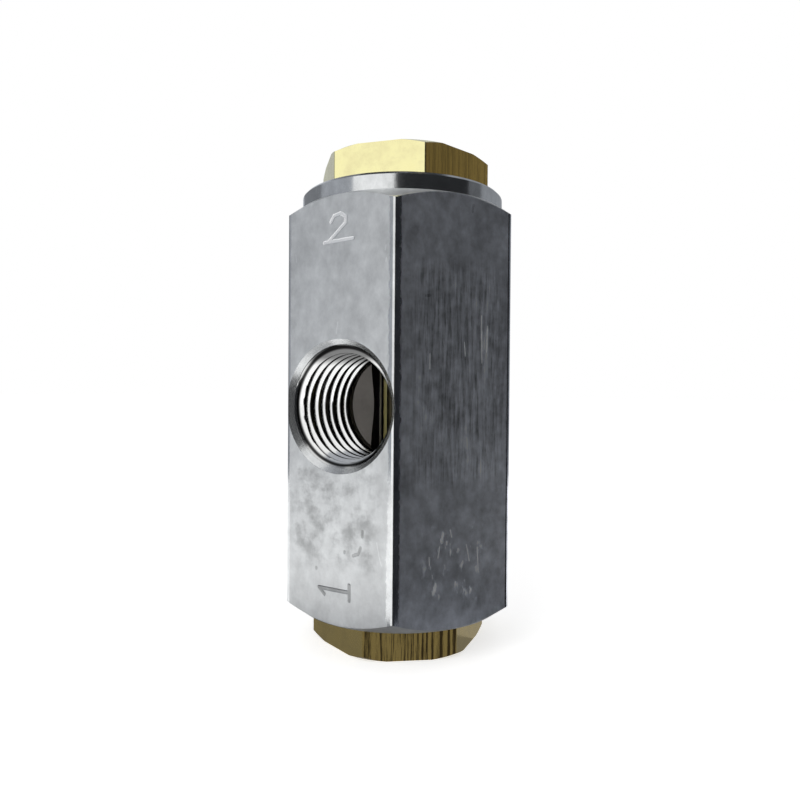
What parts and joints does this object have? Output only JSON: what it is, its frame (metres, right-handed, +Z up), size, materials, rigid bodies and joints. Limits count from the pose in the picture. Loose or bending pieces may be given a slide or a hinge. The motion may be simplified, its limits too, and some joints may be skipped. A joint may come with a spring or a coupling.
{
  "type": "blowdown valve",
  "caption": "In-line blowdown valve: hexagonal aluminium body with a threaded side port, hexagonal brass fittings in both ends, and a sprung piston that shuts the inlet under pilot air.",
  "frame": {"origin": "centre of the inlet fitting's outer face, on the valve's axis", "axes": "+Z runs up the axis to the pilot cap, and the side port faces -Y"},
  "size_m": [0.0292, 0.0254, 0.058],
  "materials": {
    "aluminium": "drawn bar, satin, with turned ends",
    "brass": "machined",
    "rubber": "matte",
    "guide_plastic": "matte",
    "steel": "zinc plated",
    "spring_steel": "drawn wire"
  },
  "bodies": {
    "housing": {"body": "aluminium", "pilot_cap": "brass", "pilot_cap_seal": "rubber", "inlet_fitting": "brass", "inlet_fitting_seal": "rubber", "spring_washer": "steel", "return_spring": "spring_steel"},
    "piston_set": {"piston": "brass", "piston_seal": "rubber", "piston_guide_ring": "guide_plastic", "piston_nut": "steel", "piston_nut_washer": "steel", "stem": "brass", "disc_holder": "brass", "seat_disc": "rubber", "disc_washer": "steel", "disc_screw": "steel"}
  },
  "joints": [
    {"name": "piston_slide", "type": "slide", "parent": "housing", "child": "piston_set", "axis": [0, 0, -1], "range_m": [0, 0.0024], "stiffness_N_per_m": 1380, "springref_m": -0.0022, "deforming": ["return_spring"]}
  ]
}
